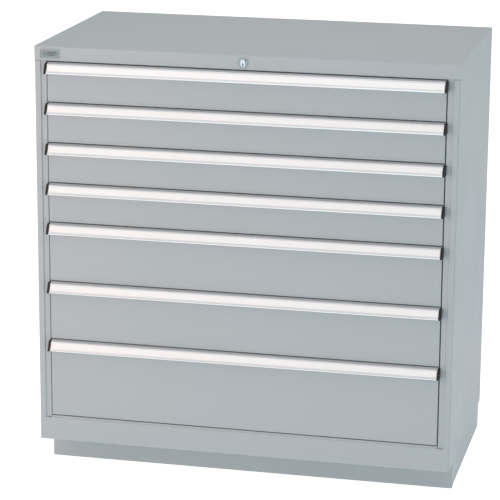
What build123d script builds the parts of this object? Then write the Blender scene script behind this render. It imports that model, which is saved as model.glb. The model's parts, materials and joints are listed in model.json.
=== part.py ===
from build123d import *
import os

# A free-standing industrial drawer cabinet: a sheet-steel housing on a recessed plinth, seven
# full-width drawers on telescopic roller slides, and one central lock.
# Millimetres. +Z is up, +X is right, the front faces -Y. The origin is the centre of the bounding
# box on the floor.

os.makedirs("parts", exist_ok=True)

# Overall size
width = 1022.0
height = 1060.0
housing_depth = 571.5
handle_reach = 19.0
cap_growth = 0.3
front_y = -(housing_depth - handle_reach - cap_growth) / 2
back_y = front_y + housing_depth
half_width = width / 2

# Sheet metal
sheet = 1.5
tray_sheet = 1.2
bend = 2.5
side_bend = 3.0
bend_room = 1.2
seam = 0.1
past = 1.0  # how far a cut runs past the face that it opens

# Levels
plinth_height = 73.5
sill_low = 131.0
sill_high = 136.6
opening_top = 1023.4
top_rail_low = 1024.6
gap = 2.4
drawer_pitches = [98.4] * 4 + [147.6] * 2 + [196.8]
sill_step = 1.5
rail_return = 24.0
top_flange = 25.0

# Stiles at each side of the opening, as parts of the side panels
stile_edge_x = 496.0
opening_half = 481.7
stile_step = 3.0
stile_return = 18.0
side_inner_x = half_width - sheet
back_flange = 20.0
notch_depth = 30.0

# Drawers
front_half = 479.9
front_return = 13.5
joggle_height = 6.5
joggle_depth = 0.9
tray_half = 459.0
tray_back_y = 223.0
tray_lift = 10.0
tray_headroom = 13.0
tray_flange = 6.0
liner_half = 477.5
slot_pitch = 34.0
slot_width = 3.0
slot_margin = 12.0

# Handles
handle_half = 477.4
handle_drop = 1.4
cap_width = 6.6

# Slides
slide_height = 30.0
rail_outer = 26.0
roller_radius = 11.0
axle_radius = 4.0
axle_play = 0.05
drawer_rail_tip = 470.5
cabinet_rail_tip = 475.0
post_face_x = 489.0
carriage_x = 471.6
carriage_sheet = 2.0
carriage_height = 28.0
rail_front_y = -253.0
rail_back_y = 235.0
carriage_front_y = -250.0
carriage_back_y = 222.0
inner_roller_ys = (-235.0, -50.0)
outer_roller_ys = (20.0, 205.0)
post_depth = 30.0
post_front_y = -250.0
post_back_y = 190.0
post_slot_pitch = 25.0

# Plinth
plinth_recess = 90.0
plinth_inset = 4.0
plinth_rear_inset = 0.5
plinth_half = half_width - plinth_inset
plinth_front_y = front_y + plinth_recess
plinth_back_y = back_y - plinth_rear_inset
kick_return = 26.0
channel_sheet = 2.0
channel_flange = 40.0
anchor_x = 480.0
anchor_ys = (-100.0, 230.0)
anchor_radius = 7.0
bolt_x = 478.0
bolt_ys = (-60.0, 190.0)
bolt_radius = 5.0
bolt_head_radius = 8.5
bolt_head = 6.4
bolt_nut = 8.0
bolt_length = 24.0
floor_flange = 36.0
floor_front_gap = 26.0
post_headroom = 38.0

# Badge plate, near the left end of the top rail
badge_x = 472.5
badge_rise = 0.6
badge_size = (50.0, 23.0)
badge_corner = 2.0
badge_sheet = 0.8

# Lock
lock_z = 1041.7
lock_lift = 14.14
ring_radius = 11.8
ring_height = 1.5
cylinder_radius = 9.5
cylinder_length = 24.0
nut_radius = 11.8
nut_height = 5.0
plug_radius = 6.5
plug_head = 2.8
keyhole_radius = 2.0
keyhole_drop = 4.0
rod_radius = 4.0
rod_front_gap = 26.0
crank_radius = 10.0
crank_pin_radius = 2.5
crank_slot = 10.6
rod_back_y = 234.0
bar_half = 16.0
bar_front_y = 236.0
bar_back_y = 246.0
bar_sheet = 2.0
bar_low = 150.0
bar_high = 1043.0
bar_flange_top = 1018.0
catch_height = 45.0
catch_half = 14.0
arm_half = 10.0
tooth_height = 13.0


def drawer_levels():
    """Lowest and highest pitch line of each drawer, from the top one down."""
    levels = []
    high = opening_top
    for pitch in drawer_pitches:
        levels.append((high - pitch, high))
        high -= pitch
    return levels


def bent_sheet(plane, corners, radii, thickness, side):
    """Section of a bent sheet: a rounded path along one face, thickened to the given side."""
    with BuildSketch(plane) as section:
        with BuildLine():
            FilletPolyline(*corners, radius=radii)
            offset(amount=thickness, side=side)
        make_face()
    return section.sketch


def block(x_range, y_range, z_range):
    """A private box between two corners, to be added or cut."""
    size = [high - low for low, high in (x_range, y_range, z_range)]
    centre = [(high + low) / 2 for low, high in (x_range, y_range, z_range)]
    return Pos(*centre) * Box(*size, mode=Mode.PRIVATE)


levels = drawer_levels()

# Housing: side panels, each with its stile, top, back, bottom rail and floor
stile_y = front_y + stile_step
side_section = [
    (half_width - back_flange, back_y),
    (half_width, back_y),
    (half_width, front_y),
    (stile_edge_x, front_y),
    (stile_edge_x, stile_y),
    (opening_half, stile_y),
    (opening_half, stile_y + stile_return),
]
panel_top = height - sheet
notch_y = front_y + notch_depth
notch_x = opening_half - past

with BuildPart() as side_panel_right:
    extrude(
        bent_sheet(
            Plane.XY.offset(plinth_height),
            side_section,
            [bend, side_bend, 1.6, 1.1, 2.0],
            sheet,
            Side.RIGHT,
        ),
        amount=panel_top - plinth_height,
    )
    for x_end, y_range, z_range in (
        (side_inner_x, (front_y - past, notch_y), (top_rail_low - seam, height)),
        (half_width + past, (front_y - past, front_y + sheet), (top_rail_low - seam, height)),
        (half_width + past, (back_y - sheet, back_y + past), (height - top_flange - past, height)),
        (half_width - side_bend, (front_y - past, notch_y), (0, sill_low + seam)),
    ):
        add(block((notch_x, x_end), y_range, z_range), mode=Mode.SUBTRACT)
side_panel_right.part.label = "side_panel_right"
export_step(side_panel_right.part, "parts/side_panel_right.step")

with BuildPart() as side_panel_left:
    mirror(side_panel_right.part, about=Plane.YZ)
side_panel_left.part.label = "side_panel_left"
export_step(side_panel_left.part, "parts/side_panel_left.step")

with BuildPart() as back_panel:
    add(
        block(
            (-side_inner_x + bend_room, side_inner_x - bend_room),
            (back_y - sheet - tray_sheet, back_y - sheet),
            (plinth_height + sheet, panel_top - bend_room),
        )
    )
back_panel.part.label = "back_panel"
export_step(back_panel.part, "parts/back_panel.step")

top_section = [
    (front_y + 20.0, top_rail_low),
    (front_y, top_rail_low),
    (front_y, height),
    (back_y, height),
    (back_y, height - top_flange),
]
with BuildPart() as top_cover:
    extrude(
        bent_sheet(Plane.YZ.offset(-half_width), top_section, bend, sheet, Side.RIGHT),
        amount=width,
    )
    for side in (-1, 1):
        edge = sorted((side * (side_inner_x - seam), side * (half_width + past)))
        add(
            block(edge, (front_y + sheet, back_y - sheet), (0, panel_top)),
            mode=Mode.SUBTRACT,
        )
    with BuildSketch(Plane.XZ.offset(-front_y)):
        with Locations((0, lock_z)):
            Circle(cylinder_radius)
    extrude(amount=-2 * sheet, mode=Mode.SUBTRACT)
top_cover.part.label = "top_cover"
export_step(top_cover.part, "parts/top_cover.step")

rail_half = half_width - side_bend - seam
rail_section = [
    (front_y + rail_return, plinth_height),
    (front_y, plinth_height),
    (front_y, sill_low),
    (front_y + sill_step, sill_low + sill_step),
    (front_y + sill_step, sill_high),
    (front_y + rail_return, sill_high),
]
with BuildPart() as bottom_rail:
    extrude(
        bent_sheet(Plane.YZ.offset(-rail_half), rail_section, [bend, 1.6, 0.9, 2.0], sheet, Side.RIGHT),
        amount=2 * rail_half,
    )
    for side in (-1, 1):
        edge = sorted((side * (opening_half - 2 * seam), side * (half_width + past)))
        add(
            block(edge, (front_y - past, notch_y), (sill_low, sill_high + past)),
            mode=Mode.SUBTRACT,
        )
bottom_rail.part.label = "bottom_rail"
export_step(bottom_rail.part, "parts/bottom_rail.step")

floor_front_y = front_y + floor_front_gap
floor_section = [
    (-side_inner_x, plinth_height + floor_flange),
    (-side_inner_x, plinth_height),
    (side_inner_x, plinth_height),
    (side_inner_x, plinth_height + floor_flange),
]
with BuildPart() as floor_pan:
    extrude(
        bent_sheet(
            Plane.XZ.offset(-(back_y - sheet - tray_sheet)), floor_section, bend, sheet, Side.LEFT
        ),
        amount=back_y - sheet - tray_sheet - floor_front_y,
    )
    with BuildSketch(Plane.XY.offset(plinth_height)):
        for y in bolt_ys:
            with Locations((-bolt_x, y), (bolt_x, y)):
                Circle(bolt_radius)
    extrude(amount=sheet, mode=Mode.SUBTRACT)
floor_pan.part.label = "floor_pan"
export_step(floor_pan.part, "parts/floor_pan.step")

# Slotted posts that carry the cabinet rails
post_low = plinth_height + sheet
post_outer_x = side_inner_x - sheet - bend_room
post_high = height - post_headroom
slot_count = int((post_high - post_low - 30.0) // post_slot_pitch)
with BuildPart() as slotted_posts:
    for y in (post_front_y, post_back_y):
        post_section = [
            (post_outer_x, y),
            (post_face_x, y),
            (post_face_x, y + post_depth),
            (post_outer_x, y + post_depth),
        ]
        extrude(
            bent_sheet(Plane.XY.offset(post_low), post_section, 2.0, sheet, Side.RIGHT),
            amount=post_high - post_low,
        )
        with BuildSketch(Plane.YZ.offset(post_face_x - past)):
            with Locations((y + post_depth / 2, (post_low + post_high) / 2)):
                with GridLocations(0, post_slot_pitch, 1, slot_count):
                    SlotOverall(14.0, 5.0)
        extrude(amount=sheet + 2 * past, mode=Mode.SUBTRACT)
    mirror(about=Plane.YZ)
slotted_posts.part.label = "slotted_posts"
export_step(slotted_posts.part, "parts/slotted_posts.step")

with BuildPart() as cabinet_rails:
    for low, high in levels:
        z = low + slide_height
        rail_channel = [
            (cabinet_rail_tip, z - rail_outer / 2),
            (post_face_x, z - rail_outer / 2),
            (post_face_x, z + rail_outer / 2),
            (cabinet_rail_tip, z + rail_outer / 2),
        ]
        extrude(
            bent_sheet(Plane.XZ.offset(-rail_back_y), rail_channel, 2.0, sheet, Side.LEFT),
            amount=rail_back_y - rail_front_y,
        )
    mirror(about=Plane.YZ)
cabinet_rails.part.label = "cabinet_rails"
export_step(cabinet_rails.part, "parts/cabinet_rails.step")

# Plinth: two side channels, capped at the rear, and a rear one, behind a folded kick plate
kick_section = [
    (plinth_half, plinth_front_y + kick_return),
    (plinth_half, plinth_front_y),
    (-plinth_half, plinth_front_y),
    (-plinth_half, plinth_front_y + kick_return),
]
with BuildPart() as kick_plate:
    extrude(bent_sheet(Plane.XY, kick_section, bend, sheet, Side.RIGHT), amount=plinth_height)
kick_plate.part.label = "kick_plate"
export_step(kick_plate.part, "parts/kick_plate.step")

side_channel = [
    (plinth_half - channel_flange, 0),
    (plinth_half, 0),
    (plinth_half, plinth_height),
    (plinth_half - channel_flange, plinth_height),
]
rear_channel = [
    (plinth_back_y - channel_flange, 0),
    (plinth_back_y, 0),
    (plinth_back_y, plinth_height),
    (plinth_back_y - channel_flange, plinth_height),
]
channel_front_y = plinth_front_y + kick_return + 2 * seam
with BuildPart() as plinth_frame:
    extrude(
        bent_sheet(Plane.XZ.offset(-plinth_back_y), side_channel, 3.0, channel_sheet, Side.LEFT),
        amount=plinth_back_y - channel_front_y,
    )
    with BuildSketch(Plane.XZ.offset(-plinth_back_y)):
        with Locations((plinth_half - (channel_flange + channel_sheet) / 2, plinth_height / 2)):
            Rectangle(channel_flange - channel_sheet, plinth_height - 2 * channel_sheet)
    extrude(amount=channel_sheet)
    with BuildSketch(Plane.XY):
        with Locations(*[(anchor_x, y) for y in anchor_ys]):
            Circle(anchor_radius)
    extrude(amount=channel_sheet, mode=Mode.SUBTRACT)
    with BuildSketch(Plane.XY.offset(plinth_height - channel_sheet)):
        with Locations(*[(bolt_x, y) for y in bolt_ys]):
            Circle(bolt_radius)
    extrude(amount=channel_sheet, mode=Mode.SUBTRACT)
    mirror(about=Plane.YZ)
    rear_half = plinth_half - channel_flange - seam
    extrude(
        bent_sheet(Plane.YZ.offset(-rear_half), rear_channel, 3.0, channel_sheet, Side.LEFT),
        amount=2 * rear_half,
    )
plinth_frame.part.label = "plinth_frame"
export_step(plinth_frame.part, "parts/plinth_frame.step")

with BuildPart() as base_bolts:
    for y in bolt_ys:
        for x in (-bolt_x, bolt_x):
            head = Plane.XY.offset(plinth_height - channel_sheet - bolt_head)
            for plane, length in ((head, bolt_head), (Plane.XY.offset(plinth_height + sheet), bolt_nut)):
                with BuildSketch(plane):
                    with Locations((x, y)):
                        RegularPolygon(bolt_head_radius, 6, major_radius=False)
                extrude(amount=length)
            with BuildSketch(head):
                with Locations((x, y)):
                    Circle(bolt_radius)
            extrude(amount=bolt_length)
base_bolts.part.label = "base_bolts"
export_step(base_bolts.part, "parts/base_bolts.step")

with BuildPart() as badge_plate:
    with BuildSketch(Plane.XZ.offset(-front_y)):
        with Locations((-badge_x, lock_z + badge_rise)):
            RectangleRounded(*badge_size, badge_corner)
    extrude(amount=badge_sheet)
badge_plate.part.label = "badge_plate"
export_step(badge_plate.part, "parts/badge_plate.step")

# Central lock: housing and plug in the top rail, a tail rod to the rear, and a bar that rises
# behind the drawers
with BuildPart() as lock_housing:
    with BuildSketch(Plane.XZ.offset(-front_y)):
        with Locations((0, lock_z)):
            Circle(ring_radius)
    extrude(amount=ring_height)
    chamfer(lock_housing.faces().sort_by(Axis.Y)[0].edges(), length=0.6)
    with BuildSketch(Plane.XZ.offset(-front_y)):
        with Locations((0, lock_z)):
            Circle(cylinder_radius)
    extrude(amount=-cylinder_length)
    with BuildSketch(Plane.XZ.offset(-front_y + ring_height + past)):
        with Locations((0, lock_z)):
            Circle(plug_radius + axle_play)
    extrude(amount=-(cylinder_length + ring_height + 2 * past), mode=Mode.SUBTRACT)
    with BuildSketch(Plane.XZ.offset(-(front_y + sheet))):
        with Locations((0, lock_z)):
            RegularPolygon(nut_radius, 6, major_radius=False)
            Circle(cylinder_radius, mode=Mode.SUBTRACT)
    extrude(amount=-nut_height)
lock_housing.part.label = "lock_housing"
export_step(lock_housing.part, "parts/lock_housing.step")

plug_base = Plane.XZ.offset(-(front_y - ring_height - 0.3))
with BuildPart() as lock_plug:
    with BuildSketch(plug_base):
        with Locations((0, lock_z)):
            SlotOverall(19.0, 2 * plug_radius, rotation=90)
    extrude(amount=plug_head)
    fillet(lock_plug.faces().sort_by(Axis.Y)[0].edges(), radius=0.8)
    with BuildSketch(plug_base):
        with Locations((0, lock_z)):
            Circle(plug_radius)
    extrude(amount=-(rod_front_gap + ring_height + 0.3))
    with BuildSketch(plug_base.offset(plug_head)):
        with Locations((0, lock_z - keyhole_drop)):
            SlotOverall(8.0, 1.8, rotation=90)
            Circle(keyhole_radius)
    extrude(amount=-8.0, mode=Mode.SUBTRACT)
lock_plug.part.label = "lock_plug"
export_step(lock_plug.part, "parts/lock_plug.step")

rod_front_y = front_y + rod_front_gap
crank_sheet = 4.0
pin_drop = crank_radius / 2**0.5
with BuildPart() as lock_tail_rod:
    with BuildSketch(Plane.XZ.offset(-rod_front_y)):
        with Locations((0, lock_z)):
            Circle(rod_radius)
    extrude(amount=-(rod_back_y - rod_front_y))
    with BuildSketch(Plane.XZ.offset(-rod_back_y)):
        with Locations(Location((-pin_drop / 2, lock_z - pin_drop / 2), 45)):
            SlotCenterToCenter(crank_radius, 2 * rod_radius)
    extrude(amount=-crank_sheet)
    with BuildSketch(Plane.XZ.offset(-rod_back_y)):
        with Locations((-pin_drop, lock_z - pin_drop)):
            Circle(crank_pin_radius)
    extrude(amount=-(bar_back_y + 3.0 - rod_back_y))
lock_tail_rod.part.label = "lock_tail_rod"
export_step(lock_tail_rod.part, "parts/lock_tail_rod.step")

bar_section = [
    (-bar_half, bar_front_y),
    (-bar_half, bar_back_y),
    (bar_half, bar_back_y),
    (bar_half, bar_front_y),
]
arm_sheet = 3.0
tooth_y = tray_back_y + 2.0
with BuildPart() as lock_bar:
    extrude(
        bent_sheet(Plane.XY.offset(bar_low), bar_section, bend, bar_sheet, Side.RIGHT),
        amount=bar_high - bar_low,
    )
    for low, high in levels:
        arm_top = low + catch_height - tooth_height - 2.0
        add(
            block(
                (-arm_half, arm_half),
                (tooth_y, bar_back_y - bar_sheet),
                (arm_top - arm_sheet, arm_top),
            )
        )
        add(
            block(
                (-arm_half, arm_half),
                (tooth_y, tooth_y + arm_sheet),
                (arm_top - arm_sheet, arm_top + tooth_height),
            )
        )
    add(
        block(
            (-bar_half - past, bar_half + past),
            (bar_front_y - past, bar_back_y - bar_sheet),
            (bar_flange_top, bar_high + past),
        ),
        mode=Mode.SUBTRACT,
    )
    with BuildSketch(Plane.XZ.offset(-(bar_back_y + past))):
        with Locations((-(pin_drop + crank_radius) / 2, lock_z - pin_drop)):
            SlotOverall(crank_slot, 2 * crank_pin_radius + 1.4)
    extrude(amount=bar_sheet + 2 * past, mode=Mode.SUBTRACT)
lock_bar.part.label = "lock_bar"
export_step(lock_bar.part, "parts/lock_bar.step")

guide_height = 20.0
guide_lift = 70.0
guide_play = 0.5
guide_wall = 3.0
with BuildPart() as lock_guides:
    for low, high in levels[::2]:
        loop_half = bar_half + guide_play + guide_wall
        loop_front_y = bar_front_y - guide_play - guide_wall
        loop_back_y = bar_back_y + guide_play + guide_wall
        z_range = (low + guide_lift, low + guide_lift + guide_height)
        add(block((-loop_half, loop_half), (loop_front_y, loop_back_y), z_range))
        add(
            block(
                (-bar_half - guide_play, bar_half + guide_play),
                (bar_front_y - guide_play, bar_back_y + guide_play),
                z_range,
            ),
            mode=Mode.SUBTRACT,
        )
        for side in (-1, 1):
            leg = sorted((side * (loop_half - guide_wall), side * loop_half))
            add(block(leg, (loop_back_y, back_y - sheet - tray_sheet), z_range))
    bearing_y = rod_back_y - 12.0
    add(block((-14, 14), (bearing_y, bearing_y + 4.0), (lock_z - 12.0, panel_top)))
    with BuildSketch(Plane.XZ.offset(-bearing_y)):
        with Locations((0, lock_z)):
            Circle(rod_radius + axle_play)
    extrude(amount=-4.0, mode=Mode.SUBTRACT)
lock_guides.part.label = "lock_guides"
export_step(lock_guides.part, "parts/lock_guides.step")

# Handle: an aluminium channel with a slanted label face, open from below for the fingers. Its
# section is given as (forward of the front, up from the handle's top).
handle_section = [
    (0.0, 0.0),
    (8.5, -2.2),
    (17.8, -20.8),
    (19.0, -22.4),
    (19.0, -24.4),
    (15.6, -24.4),
    (15.0, -20.6),
    (6.3, -4.2),
    (1.8, -3.0),
    (1.8, -21.0),
    (0.0, -21.0),
]
shoulder, nose = handle_section[1:3]
cap_section = handle_section[:5] + [(0.0, handle_section[4][1])]
label_width = 16.0
label_recess = 0.7


def handle_points(section, top):
    """Section points on the YZ plane for a handle whose top is at the given height."""
    return [(front_y - forward, top + up) for forward, up in section]


def make_handle(number, top):
    with BuildPart() as handle:
        with BuildSketch(Plane.YZ.offset(-handle_half)) as section:
            with BuildLine():
                Polyline(*handle_points(handle_section, top), close=True)
            make_face()
            outer = section.vertices().sort_by(Axis.X)
            fillet(outer[:4], radius=0.9)
            bend_y, bend_z = handle_points([shoulder], top)[0]
            fillet(section.vertices().sort_by_distance((bend_y, bend_z, 0))[0], radius=2.2)
        extrude(amount=2 * handle_half)
        upper, lower = [Vector(0, *point) for point in handle_points([shoulder, nose], top)]
        middle = (upper + lower) * 0.5
        along = (lower - upper).normalized()
        face = Plane(middle, x_dir=(1, 0, 0), z_dir=along.cross(Vector(1, 0, 0)) * -1)
        with BuildSketch(face):
            Rectangle(2 * handle_half, label_width)
        extrude(amount=label_recess, both=True, mode=Mode.SUBTRACT)
    handle.part.label = f"handle_{number}"
    export_step(handle.part, f"parts/handle_{number}.step")

    with BuildPart() as handle_end_caps:
        with BuildSketch(Plane.YZ.offset(handle_half)):
            with BuildLine():
                Polyline(*handle_points(cap_section, top), close=True)
            make_face()
            offset(amount=cap_growth, kind=Kind.INTERSECTION)
            split(bisect_by=Plane.YZ.offset(front_y), keep=Keep.BOTTOM)
        extrude(amount=cap_width)
        fillet(handle_end_caps.faces().sort_by(Axis.X)[-1].edges().sort_by(Axis.Y)[:-1], radius=1.0)
        mirror(about=Plane.YZ)
    handle_end_caps.part.label = f"handle_end_caps_{number}"
    export_step(handle_end_caps.part, f"parts/handle_end_caps_{number}.step")


def make_front(number, low, high):
    with BuildPart() as drawer_front:
        with BuildSketch(Plane.XZ.offset(-front_y)):
            with Locations((0, (low + high) / 2)):
                Rectangle(2 * front_half, high - low)
        extrude(amount=-front_return)
        fillet(drawer_front.faces().sort_by(Axis.Y)[0].edges(), radius=1.9)
        offset(amount=-sheet, openings=drawer_front.faces().sort_by(Axis.Y)[-1])
        add(
            block(
                (-front_half - 1, front_half + 1),
                (front_y - 1, front_y + joggle_depth),
                (low - 1, low + joggle_height),
            ),
            mode=Mode.SUBTRACT,
        )
    drawer_front.part.label = f"drawer_front_{number}"
    export_step(drawer_front.part, f"parts/drawer_front_{number}.step")


def make_tray(number, low, high):
    floor = low + tray_lift
    rim = high - tray_headroom
    liner_y = front_y + front_return
    front = liner_y + tray_sheet
    side_slots = int((tray_back_y - front - 2 * slot_pitch / 2) // slot_pitch)
    back_slots = int((2 * tray_half - 2 * slot_pitch) // slot_pitch)
    slot_height = rim - floor - 2 * slot_margin
    slot_z = (rim + floor) / 2
    with BuildPart() as drawer_tray:
        # side walls, each with a flange turned outwards at its rim
        side_wall = [(tray_half, floor), (tray_half, rim), (tray_half + tray_flange, rim)]
        extrude(
            bent_sheet(Plane.XZ.offset(-tray_back_y), side_wall, 1.0, tray_sheet, Side.LEFT),
            amount=tray_back_y - front - seam,
        )
        with BuildSketch(Plane.YZ.offset(tray_half - 2 * tray_sheet)):
            with Locations(((front + tray_back_y) / 2, slot_z)):
                with GridLocations(slot_pitch, 0, side_slots, 1):
                    Rectangle(slot_width, slot_height)
        extrude(amount=4 * tray_sheet, mode=Mode.SUBTRACT)
        mirror(about=Plane.YZ)
        # back wall, with the catch that the lock bar's tooth rises into
        inner_half = tray_half - tray_sheet - seam
        back_wall = [(tray_back_y, floor), (tray_back_y, rim), (tray_back_y + 4.5, rim)]
        extrude(
            bent_sheet(Plane.YZ.offset(-inner_half), back_wall, 1.0, tray_sheet, Side.LEFT),
            amount=2 * inner_half,
        )
        with BuildSketch(Plane.XZ.offset(-tray_back_y)):
            with Locations((0, slot_z)):
                with GridLocations(slot_pitch, 0, back_slots, 1):
                    Rectangle(slot_width, slot_height)
        extrude(amount=tray_sheet, mode=Mode.SUBTRACT)
        # floor plate
        plate_ys = (front + seam, tray_back_y - tray_sheet - seam)
        add(block((-inner_half, inner_half), plate_ys, (floor, floor + tray_sheet)))
        # inner wall that closes the drawer front
        add(
            block(
                (-liner_half, liner_half),
                (liner_y, front),
                (low + gap / 2 + 2.0, high - gap / 2 - 2.0),
            )
        )
        # catch
        lip = low + catch_height
        lip_y = tooth_y + arm_sheet + 1.5
        catch_top = lip + 16.0
        catch_x = (-catch_half, catch_half)
        catch_ys = (tray_back_y + seam, lip_y + arm_sheet)
        add(block(catch_x, catch_ys, (catch_top - 2.0, catch_top)))
        add(block(catch_x, (lip_y, lip_y + arm_sheet), (lip, catch_top)))
    drawer_tray.part.label = f"drawer_tray_{number}"
    export_step(drawer_tray.part, f"parts/drawer_tray_{number}.step")


def make_drawer_rails(number, z):
    section = [
        (drawer_rail_tip, z - rail_outer / 2),
        (tray_half, z - rail_outer / 2),
        (tray_half, z + rail_outer / 2),
        (drawer_rail_tip, z + rail_outer / 2),
    ]
    with BuildPart() as drawer_rails:
        extrude(
            bent_sheet(Plane.XZ.offset(-tray_back_y), section, 2.0, sheet, Side.RIGHT),
            amount=tray_back_y - (front_y + front_return + 4.0),
        )
        mirror(about=Plane.YZ)
    drawer_rails.part.label = f"drawer_rails_{number}"
    export_step(drawer_rails.part, f"parts/drawer_rails_{number}.step")


def make_carriage(number, z):
    inner_roller_x = tray_half + sheet + 1.0
    outer_roller_x = carriage_x + carriage_sheet + 1.4
    roller_width = 9.0
    with BuildPart() as carriage:
        add(
            block(
                (carriage_x, carriage_x + carriage_sheet),
                (carriage_front_y, carriage_back_y),
                (z - carriage_height / 2, z + carriage_height / 2),
            )
        )
        for ys, roller_x, axle in (
            (inner_roller_ys, inner_roller_x, (inner_roller_x - 0.4, carriage_x)),
            (outer_roller_ys, outer_roller_x, (carriage_x, outer_roller_x + roller_width + 0.4)),
        ):
            for y in ys:
                with BuildSketch(Plane.YZ.offset(axle[0])):
                    with Locations((y, z)):
                        Circle(axle_radius)
                extrude(amount=axle[1] - axle[0])
                with BuildSketch(Plane.YZ.offset(roller_x)):
                    with Locations((y, z)):
                        Circle(roller_radius)
                        Circle(axle_radius + axle_play, mode=Mode.SUBTRACT)
                extrude(amount=roller_width)
        mirror(about=Plane.YZ)
    carriage.part.label = f"carriage_{number}"
    export_step(carriage.part, f"parts/carriage_{number}.step")


for number, (low, high) in enumerate(levels, start=1):
    front_low = low + gap / 2
    front_high = high - gap / 2
    make_front(number, front_low, front_high)
    make_handle(number, front_high - handle_drop)
    make_tray(number, low, high)
    make_drawer_rails(number, low + slide_height)
    make_carriage(number, low + slide_height)

print("drawers", len(levels), "lowest pitch line", levels[-1][0], "lock lift", lock_lift)
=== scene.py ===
import json
import math
import bmesh
import bpy
from mathutils import Matrix, Vector

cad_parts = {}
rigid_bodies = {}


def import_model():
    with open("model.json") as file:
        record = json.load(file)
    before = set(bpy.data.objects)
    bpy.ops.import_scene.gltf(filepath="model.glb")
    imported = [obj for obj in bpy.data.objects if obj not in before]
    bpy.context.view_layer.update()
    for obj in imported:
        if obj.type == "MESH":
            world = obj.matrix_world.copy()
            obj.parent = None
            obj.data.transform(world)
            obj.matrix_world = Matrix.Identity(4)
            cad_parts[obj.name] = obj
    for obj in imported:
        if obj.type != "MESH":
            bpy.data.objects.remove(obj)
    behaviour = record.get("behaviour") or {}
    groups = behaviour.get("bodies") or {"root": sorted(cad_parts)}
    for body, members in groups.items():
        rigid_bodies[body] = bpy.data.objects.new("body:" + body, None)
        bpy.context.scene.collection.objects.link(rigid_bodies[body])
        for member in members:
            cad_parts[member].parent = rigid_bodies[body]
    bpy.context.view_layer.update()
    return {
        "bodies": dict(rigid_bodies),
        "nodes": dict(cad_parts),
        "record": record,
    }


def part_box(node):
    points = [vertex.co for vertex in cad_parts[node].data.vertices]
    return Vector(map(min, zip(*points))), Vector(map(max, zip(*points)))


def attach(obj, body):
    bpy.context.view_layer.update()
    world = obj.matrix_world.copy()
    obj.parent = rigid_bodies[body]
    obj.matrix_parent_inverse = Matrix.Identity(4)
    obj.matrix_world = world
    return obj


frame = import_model()
print("frame loaded:", len(frame["nodes"]), "nodes")

scene = bpy.context.scene
drawerCount = sum(1 for body in frame["bodies"] if body.startswith("drawer_"))
drawerNumbers = range(1, drawerCount + 1)


class Wire:
    def __init__(self, paint, socket):
        self.paint = paint
        self.socket = socket

    def math(self, operation, *others):
        values = {0: self}
        for place, other in enumerate(others, start=1):
            values[place] = other
        return self.paint.node("ShaderNodeMath", {"operation": operation}, values)

    def __add__(self, other):
        return self.math("ADD", other)

    def __mul__(self, other):
        return self.math("MULTIPLY", other)

    def __sub__(self, other):
        return self.math("SUBTRACT", other)

    def __rsub__(self, other):
        return (self * -1) + other

    def __truediv__(self, other):
        return self.math("DIVIDE", other)

    def above(self, edge, soft):
        # 0 below the edge, 1 once past it by the soft width
        return ((self - edge) / soft).math("MAXIMUM", 0.0).math("MINIMUM", 1.0)

    def below(self, edge, soft):
        return 1 - self.above(edge - soft, soft)


class Paint:
    def __init__(self, name, colour, **fixed):
        self.material = bpy.data.materials.new(name)
        self.material.use_nodes = True
        self.tree = self.material.node_tree
        self.shader = self.tree.nodes["Principled BSDF"]
        self.shader.inputs["Base Color"].default_value = (*colour, 1)
        for socket, value in fixed.items():
            self.shader.inputs[socket].default_value = value

    def node(self, kind, settings, values, output=0):
        made = self.tree.nodes.new(kind)
        for name, value in settings.items():
            setattr(made, name, value)
        for name, value in values.items():
            if isinstance(value, Wire):
                self.tree.links.new(value.socket, made.inputs[name])
            else:
                made.inputs[name].default_value = value
        return Wire(self, made.outputs[output])

    def place(self, scale=(1, 1, 1)):
        coords = self.node("ShaderNodeTexCoord", {}, {}, "Object")
        return self.node("ShaderNodeMapping", {}, {"Vector": coords, "Scale": scale})

    def axis(self, name):
        split = self.tree.nodes.new("ShaderNodeSeparateXYZ")
        coords = self.node("ShaderNodeTexCoord", {}, {}, "Object")
        self.tree.links.new(coords.socket, split.inputs[0])
        return Wire(self, split.outputs[name])

    def noise(self, scale, stretch=(1, 1, 1), detail=2.0, rough=0.5):
        values = {"Vector": self.place(stretch), "Scale": scale, "Detail": detail, "Roughness": rough}
        return self.node("ShaderNodeTexNoise", {}, values)

    def mix(self, share, first, second):
        def asColour(value):
            return value if isinstance(value, Wire) else (*value, 1)

        values = {0: share, 6: asColour(first), 7: asColour(second)}
        return self.node("ShaderNodeMix", {"data_type": "RGBA"}, values, 2)

    def tint(self, first, second):
        # multiplies two colours
        values = {0: 1.0, 6: first, 7: second}
        return self.node("ShaderNodeMix", {"data_type": "RGBA", "blend_type": "MULTIPLY"}, values, 2)

    def feed(self, socket, wire):
        self.tree.links.new(wire.socket, self.shader.inputs[socket])

    def bump(self, height, distance, strength=1.0):
        values = {"Height": height, "Distance": distance, "Strength": strength}
        self.feed("Normal", self.node("ShaderNodeBump", {}, values))


def srgb(red, green, blue):
    def linear(value):
        share = value / 255
        return share / 12.92 if share <= 0.04045 else ((share + 0.055) / 1.055) ** 2.4

    return linear(red), linear(green), linear(blue)


cameraSettings = {
    "place": (1.198, -5.426, 1.964),
    "turn": 12.89,
    "tilt": 14.56,
    "roll": 0.41,
    "lens": 165.0,
}


def makeCamera():
    data = bpy.data.cameras.new("camera")
    data.lens = cameraSettings["lens"]
    data.clip_end = 60
    camera = bpy.data.objects.new("camera", data)
    turn, tilt, roll = (math.radians(cameraSettings[name]) for name in ("turn", "tilt", "roll"))
    spin = Matrix.Rotation(turn, 4, "Z") @ Matrix.Rotation(math.pi / 2 - tilt, 4, "X")
    camera.matrix_world = (
        Matrix.Translation(cameraSettings["place"]) @ spin @ Matrix.Rotation(roll, 4, "Z")
    )
    scene.collection.objects.link(camera)
    scene.camera = camera


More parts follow.
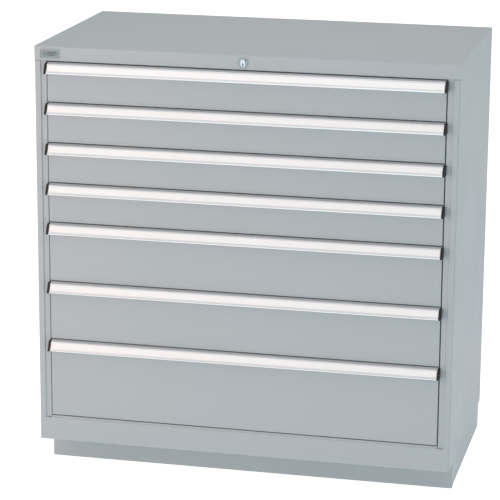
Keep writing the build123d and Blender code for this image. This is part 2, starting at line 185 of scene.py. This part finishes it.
lampSettings = {
    "warmKey": {
        "place": (-2.2, -2.6, 1.2), "aim": (-0.3, -0.27, 0.7), "size": 1.6, "power": 30.5,
        "colour": (1.0, 0.62, 0.51),
    },
    "coolFill": {
        "place": (0, -3.0, 0.35), "aim": (0, -0.3, 0.2), "size": 1.6, "power": 8.7,
        "colour": (0.45, 0.87, 1.0),
    },
    "overhead": {
        "place": (0.1, -0.2, 3.0), "aim": (0.1, 0, 0), "size": 2.4, "power": 22,
        "colour": (0.91, 0.94, 1.0),
    },
}
roomSettings = {"seen": (1, 1, 1), "cast": (0.53, 0.53, 0.53)}


def makeLights():
    for name, settings in lampSettings.items():
        data = bpy.data.lights.new(name, "AREA")
        data.size = settings["size"]
        data.energy = settings["power"]
        data.color = settings["colour"]
        lamp = bpy.data.objects.new(name, data)
        place = Vector(settings["place"])
        aim = (Vector(settings["aim"]) - place).to_track_quat("-Z", "Y").to_matrix().to_4x4()
        lamp.matrix_world = Matrix.Translation(place) @ aim
        scene.collection.objects.link(lamp)
    world = bpy.data.worlds.new("studio")
    world.use_nodes = True
    nodes, links = world.node_tree.nodes, world.node_tree.links
    cast = nodes["Background"]
    cast.inputs["Color"].default_value = (*roomSettings["cast"], 1)
    seen = nodes.new("ShaderNodeBackground")
    seen.inputs["Color"].default_value = (*roomSettings["seen"], 1)
    rays = nodes.new("ShaderNodeLightPath")
    blend = nodes.new("ShaderNodeMixShader")
    links.new(rays.outputs["Is Camera Ray"], blend.inputs[0])
    links.new(cast.outputs[0], blend.inputs[1])
    links.new(seen.outputs[0], blend.inputs[2])
    links.new(blend.outputs[0], nodes["World Output"].inputs["Surface"])
    scene.world = world
    scene.view_settings.view_transform = "Standard"


floorSettings = {
    "size": 14,
    "colour": (0.9, 0.9, 0.9),
    "bounce": (0.38, 0.45, 0.49),
    "seen": (0.7, 0.7, 0.7),
    "roughness": 0.9,
}


def makeFloor():
    # pale floor that throws a cool bounce on the cabinet and looks plain white itself
    mesh = bpy.data.meshes.new("floor")
    work = bmesh.new()
    bmesh.ops.create_grid(work, x_segments=1, y_segments=1, size=floorSettings["size"])
    work.to_mesh(mesh)
    work.free()
    floor = bpy.data.objects.new("floor", mesh)
    scene.collection.objects.link(floor)
    pale = Paint("floor_pale", floorSettings["colour"], Roughness=floorSettings["roughness"])
    nodes, links = pale.tree.nodes, pale.tree.links
    glows = []
    for use in ("bounce", "seen"):
        glow = nodes.new("ShaderNodeEmission")
        glow.inputs["Color"].default_value = (*floorSettings[use], 1)
        glows.append(glow.outputs[0])
    rays = nodes.new("ShaderNodeLightPath")
    pick, total = nodes.new("ShaderNodeMixShader"), nodes.new("ShaderNodeAddShader")
    links.new(rays.outputs["Is Camera Ray"], pick.inputs[0])
    links.new(glows[0], pick.inputs[1])
    links.new(glows[1], pick.inputs[2])
    links.new(pale.shader.outputs[0], total.inputs[0])
    links.new(pick.outputs[0], total.inputs[1])
    links.new(total.outputs[0], nodes["Material Output"].inputs["Surface"])
    mesh.materials.append(pale.material)


makeCamera()
makeLights()
makeFloor()
print("studio ready")


paintSettings = {
    "colour": srgb(173, 180, 182),
    "drift": 0.03,
    "driftScale": 2.2,
    "grain": 0.02,
    "grainScale": 850,
    "peel": (420, 1300),
    "peelDepth": 0.00006,
    "roughness": 0.4,
    "smear": 0.14,
    "smearScale": 7,
    "floorDarkenTop": 0.09,
    "floorDarken": 0.03,
    "floorDarkenScale": 14,
    "floorDarkenTint": (1, 0.99, 0.97),
}
traySettings = {
    "colour": srgb(172, 179, 181),
    "roughness": 0.44,
    "scuff": 0.07,
    "scuffScale": 90,
    "scuffStretch": (1, 0.06, 0.3),
    "scuffEdge": 0.6,
    "scuffSoft": 0.08,
    "scuffDull": 0.12,
}


def shade(colour, share):
    return tuple(value * share for value in colour)


def makeCabinetPaint(name, colour, roughness, scuff=0.0):
    # satin powder coat: slow colour drift, a fine grain, orange peel, and a blotchy darkening on the plinth
    # towards the floor
    paint = Paint(name, colour, IOR=1.45)
    clean = (1, 1, 1)
    drift = paintSettings["drift"]
    cloud = paint.noise(paintSettings["driftScale"], detail=3)
    tint = paint.mix(cloud, shade(colour, 1 - drift), shade(colour, 1 + drift))
    grain = paint.noise(paintSettings["grainScale"], detail=2)
    tint = paint.tint(tint, paint.mix(grain, shade(clean, 1 - paintSettings["grain"]), clean))
    # blotchy, slightly warm darkening of a few percent, fading in from 9 cm above the floor down to it
    low = paint.axis("Z").below(paintSettings["floorDarkenTop"], paintSettings["floorDarkenTop"])
    floorDarken = low * paint.noise(paintSettings["floorDarkenScale"], detail=4)
    floorDarkenColour = shade(paintSettings["floorDarkenTint"], 1 - paintSettings["floorDarken"])
    tint = paint.tint(tint, paint.mix(floorDarken, clean, floorDarkenColour))
    smear = paint.noise(paintSettings["smearScale"], detail=4)
    dull = smear * paintSettings["smear"] + (roughness - paintSettings["smear"] / 2)
    if scuff:
        # drawers are scuffed front to back by what slides in them
        scratches = paint.noise(traySettings["scuffScale"], stretch=traySettings["scuffStretch"], detail=3)
        rubbed = scratches.above(traySettings["scuffEdge"], traySettings["scuffSoft"])
        tint = paint.tint(tint, paint.mix(rubbed, clean, shade(clean, 1 - scuff)))
        dull = dull + rubbed * traySettings["scuffDull"]
    paint.feed("Base Color", tint)
    paint.feed("Roughness", dull)
    coarse, fine = paintSettings["peel"]
    peel = paint.noise(coarse, detail=1) + paint.noise(fine, detail=1) * 0.5
    paint.bump(peel, paintSettings["peelDepth"])
    return paint.material


aluminiumSettings = {
    "colour": srgb(238, 241, 243),
    "darkest": 0.94,
    "lines": 2600,
    "lineStretch": (0.004, 1, 1),
    "depth": 0.00002,
    "roughness": 0.3,
    "lineDull": 0.14,
    "patchDull": 0.08,
}


def makeHandleAluminium():
    # drawn and satin anodised: the die lines run along the handle
    paint = Paint("handle_aluminium", aluminiumSettings["colour"], Metallic=0.5)
    lines = paint.noise(aluminiumSettings["lines"], stretch=aluminiumSettings["lineStretch"], detail=2)
    patch = paint.noise(5, stretch=(0.3, 1, 1), detail=3)
    colour = aluminiumSettings["colour"]
    both = lines * 0.5 + patch * 0.5
    paint.feed("Base Color", paint.mix(both, shade(colour, aluminiumSettings["darkest"]), colour))
    dull = lines * aluminiumSettings["lineDull"] + patch * aluminiumSettings["patchDull"]
    paint.feed("Roughness", dull + (aluminiumSettings["roughness"] - 0.1))
    paint.bump(lines, aluminiumSettings["depth"], 0.6)
    return paint.material


def makePlated(name, colour, roughness, cells=120, scratch=0.10):
    # plated steel: small crystals in the plating and fine handling scratches
    paint = Paint(name, colour, Metallic=1.0)
    values = {"Vector": paint.place(), "Scale": cells}
    crystals = paint.node("ShaderNodeTexVoronoi", {}, values, "Color")
    grey = paint.node("ShaderNodeRGBToBW", {}, {"Color": crystals})
    scratches = paint.noise(500, stretch=(1, 0.02, 1), detail=3).above(0.58, 0.1)
    paint.feed("Base Color", paint.mix(grey, shade(colour, 0.87), colour))
    paint.feed("Roughness", grey * 0.1 + scratches * scratch + (roughness - 0.05))
    paint.bump(scratches + grey * 0.3, 0.000015)
    return paint.material


capSettings = {"colour": srgb(30, 28, 27), "grain": 1500, "depth": 0.00003}


def makeCapPlastic():
    colour = capSettings["colour"]
    paint = Paint("cap_plastic", colour, IOR=1.49)
    grain = paint.noise(capSettings["grain"], detail=2)
    wipe = paint.noise(40, detail=3)
    paint.feed("Base Color", paint.mix(wipe, shade(colour, 0.8), shade(colour, 1.25)))
    paint.feed("Roughness", grain * 0.12 + wipe * 0.1 + 0.36)
    paint.bump(grain, capSettings["depth"])
    return paint.material


carriageSettings = {
    "plateInner": 0.4712,
    "plateOuter": 0.4740,
    "plateSoft": 0.0001,
    "steel": srgb(176, 178, 180),
    "roller": srgb(70, 71, 74),
}


def makeCarriageSteel():
    # a plated strip between its rollers, which are darker ground steel with a painted oily sheen: their
    # colour is mottled lighter and darker
    colour, roller = carriageSettings["steel"], carriageSettings["roller"]
    paint = Paint("carriage_steel", colour, Metallic=1.0)
    across = paint.axis("X").math("ABSOLUTE")
    inner, outer = carriageSettings["plateInner"], carriageSettings["plateOuter"]
    soft = carriageSettings["plateSoft"]
    plate = across.above(inner, soft) * across.below(outer, soft)
    speck = paint.noise(60, detail=3)
    # painted sheen: the roller colour is mottled between 0.8 and 1.3 of its own shade
    rollerPaintedSheen = paint.mix(speck, shade(roller, 0.8), shade(roller, 1.3))
    paint.feed("Base Color", paint.mix(plate, rollerPaintedSheen, paint.mix(speck, shade(colour, 0.85), colour)))
    paint.feed("Roughness", speck * 0.1 + plate * 0.1 + 0.26)
    return paint.material


cardSettings = {"colour": srgb(252, 251, 249), "fibre": 700, "roughness": 0.8}


def makeLabelCard():
    paint = Paint("label_card", cardSettings["colour"], Roughness=cardSettings["roughness"])
    fibre = paint.noise(cardSettings["fibre"], stretch=(0.3, 1, 1), detail=4)
    paint.feed("Base Color", paint.mix(fibre, shade(cardSettings["colour"], 0.975), cardSettings["colour"]))
    paint.bump(fibre, 0.00002)
    return paint.material


coverSettings = {"colour": (0.96, 0.97, 0.98), "clear": 0.02}


def makeLabelCover():
    # clear plastic, nearly unseen but for its gloss and a few fine rubs
    paint = Paint("label_cover", coverSettings["colour"], IOR=1.49)
    rubs = paint.noise(300, stretch=(0.05, 1, 1), detail=3).above(0.55, 0.2)
    paint.feed("Alpha", rubs * 0.03 + coverSettings["clear"])
    paint.feed("Roughness", rubs * 0.25 + 0.12)
    return paint.material


finishes = {
    "cabinet_paint": makeCabinetPaint("cabinet_paint", paintSettings["colour"], paintSettings["roughness"]),
    "tray_paint": makeCabinetPaint(
        "tray_paint", traySettings["colour"], traySettings["roughness"], traySettings["scuff"]
    ),
    "handle_aluminium": makeHandleAluminium(),
    "zinc_steel": makePlated("zinc_steel", srgb(196, 199, 202), 0.36),
    "bolt_steel": makePlated("bolt_steel", srgb(180, 181, 182), 0.3),
    "lock_chrome": makePlated("lock_chrome", srgb(206, 205, 204), 0.34, cells=900, scratch=0.06),
    "lock_dark_metal": makePlated("lock_dark_metal", srgb(150, 160, 166), 0.32, cells=900),
    "badge_aluminium": makePlated("badge_aluminium", srgb(136, 152, 158), 0.5, cells=1500),
    "carriage_steel": makeCarriageSteel(),
    "cap_plastic": makeCapPlastic(),
    "label_card": makeLabelCard(),
    "label_cover": makeLabelCover(),
}

for part in frame["record"]["subparts"]:
    node = frame["nodes"][part["node"]]
    node.data.materials.clear()
    node.data.materials.append(finishes[part["material_slot"]])
print("finishes on")


def roundOff(work, edges, width, segments=2):
    bmesh.ops.bevel(
        work, geom=edges, offset=width, offset_type="OFFSET", affect="EDGES",
        segments=segments, profile=0.5, material=-1, clamp_overlap=True,
    )


def addPiece(name, work, body, slot):
    bmesh.ops.remove_doubles(work, verts=work.verts, dist=0.000005)
    bmesh.ops.recalc_face_normals(work, faces=work.faces)
    mesh = bpy.data.meshes.new(name)
    work.to_mesh(mesh)
    work.free()
    mesh.materials.append(finishes[slot])
    piece = bpy.data.objects.new(name, mesh)
    scene.collection.objects.link(piece)
    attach(piece, body)


def onFront(x, y, z):
    # drawing plane on a front face: its Z points out towards -Y
    return Matrix.Translation((x, y, z)) @ Matrix.Rotation(math.pi / 2, 4, "X")


labelSettings = {
    "shoulder": (0.0085, 0.0022),
    "nose": (0.0178, 0.0208),
    "groove": 0.0007,
    "width": 0.0154,
    "endRoom": 0.0015,
    "corner": 0.0009,
    "cardThick": 0.00025,
    "coverThick": 0.0002,
    "cardRise": 0.00002,
    "coverRise": 0.00024,
    "bow": 0.0003,
    "bowSteps": 8,
}


def labelPlane(number):
    # middle of the handle's slanted face: Y runs up the slope and Z points out of it
    low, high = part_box(f"handle_{number}")
    upper, lower = (
        Vector((0, high.y - forward, high.z - down))
        for forward, down in (labelSettings["shoulder"], labelSettings["nose"])
    )
    up = (upper - lower).normalized()
    right = Vector((1, 0, 0))
    middle = (upper + lower) / 2
    turn = Matrix((right, up, right.cross(up))).transposed().to_4x4()
    return Matrix.Translation(middle) @ turn, high.x - labelSettings["endRoom"]


def makeLabelStrip(number):
    plane, half = labelPlane(number)
    work = bmesh.new()
    bmesh.ops.create_cube(work, size=1)
    thick = labelSettings["cardThick"]
    bmesh.ops.scale(work, vec=(2 * half, labelSettings["width"], thick), verts=work.verts)
    upright = [edge for edge in work.edges if abs(edge.verts[0].co.z - edge.verts[1].co.z) > 1e-6]
    roundOff(work, upright, labelSettings["corner"], 4)
    depth = -labelSettings["groove"] + thick / 2 + labelSettings["cardRise"]
    bmesh.ops.transform(work, matrix=plane @ Matrix.Translation((0, 0, depth)), verts=work.verts)
    addPiece(f"label_strip_{number}", work, f"drawer_{number}", "label_card")


def makeLabelCover(number):
    # clear strip sprung into the groove, so its middle bows out a little
    plane, half = labelPlane(number)
    work = bmesh.new()
    bmesh.ops.create_grid(work, x_segments=6, y_segments=labelSettings["bowSteps"], size=0.5)
    bmesh.ops.scale(work, vec=(2 * half, labelSettings["width"], 1), verts=work.verts)
    for vert in work.verts:
        across = vert.co.y * 2 / labelSettings["width"]
        vert.co.z = labelSettings["bow"] * (1 - across**2)
    bmesh.ops.solidify(work, geom=work.faces[:], thickness=labelSettings["coverThick"])
    depth = -labelSettings["groove"] + labelSettings["cardThick"] + labelSettings["coverRise"]
    bmesh.ops.transform(work, matrix=plane @ Matrix.Translation((0, 0, depth)), verts=work.verts)
    addPiece(f"label_cover_{number}", work, f"drawer_{number}", "label_cover")


for number in drawerNumbers:
    makeLabelStrip(number)
    makeLabelCover(number)
print("labels in", drawerCount, "handles")


badgeSettings = {
    "corner": 0.002,
    "rimInset": 0.0009,
    "rimRise": 0.0007,
    "rimRound": 0.0003,
    "barRound": 0.00015,
    "ring": (0.0042, 0.0009),
    "ringPlace": (-0.0125, 0.0),
    "bars": ((0.0045, 0.0035, 0.022), (0.0065, 0.0, 0.026), (0.0025, -0.0035, 0.018)),
    "barHeight": 0.0011,
    "markRise": 0.0004,
}


def liftRing(work, faces, inset, rise):
    # insets the faces, keeps only the border and raises it
    border = bmesh.ops.inset_region(
        work, faces=faces, thickness=inset, use_boundary=True, use_even_offset=True
    )["faces"]
    bmesh.ops.delete(work, geom=faces, context="FACES")
    bmesh.ops.solidify(work, geom=border, thickness=rise)
    work.normal_update()


def makeBadgeRim():
    low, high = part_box("badge_plate")
    work = bmesh.new()
    bmesh.ops.create_grid(work, x_segments=1, y_segments=1, size=0.5)
    bmesh.ops.scale(work, vec=(high.x - low.x, high.z - low.z, 1), verts=work.verts)
    bmesh.ops.bevel(
        work, geom=work.verts[:], offset=badgeSettings["corner"], offset_type="OFFSET",
        affect="VERTICES", segments=5, profile=0.5, material=-1,
    )
    liftRing(work, work.faces[:], badgeSettings["rimInset"], badgeSettings["rimRise"])
    height = max(vert.co.z for vert in work.verts)
    crest = [edge for edge in work.edges if all(abs(v.co.z - height) < 1e-6 for v in edge.verts)]
    long = [edge for edge in crest if len({f.normal.z > 0.5 for f in edge.link_faces}) == 2]
    roundOff(work, long, badgeSettings["rimRound"])
    middle = (low + high) / 2
    rise = -min(vert.co.z for vert in work.verts)
    bmesh.ops.transform(work, matrix=onFront(middle.x, low.y - rise, middle.z), verts=work.verts)
    addPiece("badge_rim", work, "cabinet", "lock_chrome")


def makeBadgeEmblem():
    # a plain ring and three bars, a mark that means nothing
    low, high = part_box("badge_plate")
    middle = (low + high) / 2
    work = bmesh.new()
    radius, inset = badgeSettings["ring"]
    bmesh.ops.create_circle(work, cap_ends=True, segments=32, radius=radius)
    liftRing(work, work.faces[:], inset, badgeSettings["markRise"])
    bmesh.ops.translate(work, vec=(*badgeSettings["ringPlace"], 0), verts=work.verts)
    for x, y, length in badgeSettings["bars"]:
        bar = bmesh.ops.create_cube(work, size=1)["verts"]
        size = (length, badgeSettings["barHeight"], badgeSettings["markRise"])
        bmesh.ops.scale(work, vec=size, verts=bar)
        bmesh.ops.translate(work, vec=(x, y, 0), verts=bar)
        edges = {edge for vert in bar for edge in vert.link_edges}
        short = [edge for edge in edges if edge.calc_length() < size[1] * 1.01]
        roundOff(work, short, badgeSettings["barRound"])
    rise = -min(vert.co.z for vert in work.verts)
    bmesh.ops.transform(work, matrix=onFront(middle.x, low.y - rise, middle.z), verts=work.verts)
    addPiece("badge_emblem", work, "cabinet", "cap_plastic")


makeBadgeRim()
makeBadgeEmblem()
print("badge made")


rivetSettings = {
    "radius": 0.0042,
    "rise": 0.0014,
    "sides": 20,
    "crownShare": 0.72,
    "crownRound": 0.45,
    "flangeIn": 0.0105,
    "bottomRoom": 0.04,
    "topRoom": 0.0365,
    "uprightCount": 8,
    "topDown": 0.0135,
    "topSpan": 0.88,
    "topCount": 7,
}


def makeBackRivets():
    # blind rivets through the rear flanges of the side panels and the top
    low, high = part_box("side_panel_right")
    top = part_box("top_cover")[1].z
    back = high.y
    edge = high.x - rivetSettings["flangeIn"]
    lowest = low.z + rivetSettings["bottomRoom"]
    highest = top - rivetSettings["topRoom"]
    places = []
    for step in range(rivetSettings["uprightCount"]):
        share = step / (rivetSettings["uprightCount"] - 1)
        z = lowest + share * (highest - lowest)
        places += [(-edge, z), (edge, z)]
    for step in range(rivetSettings["topCount"]):
        share = step / (rivetSettings["topCount"] - 1)
        places.append(((share - 0.5) * rivetSettings["topSpan"], top - rivetSettings["topDown"]))
    work = bmesh.new()
    radius, rise = rivetSettings["radius"], rivetSettings["rise"]
    for x, z in places:
        place = Matrix.Translation((x, back + rise / 2, z)) @ Matrix.Rotation(-math.pi / 2, 4, "X")
        bmesh.ops.create_cone(
            work, cap_ends=True, segments=rivetSettings["sides"], radius1=radius,
            radius2=radius * rivetSettings["crownShare"], depth=rise, matrix=place,
        )
    crown = [edge for edge in work.edges if all(vert.co.y > back + rise / 2 for vert in edge.verts)]
    roundOff(work, crown, rise * rivetSettings["crownRound"], 3)
    addPiece("back_rivets", work, "cabinet", "bolt_steel")


makeBackRivets()
print("rivets set")
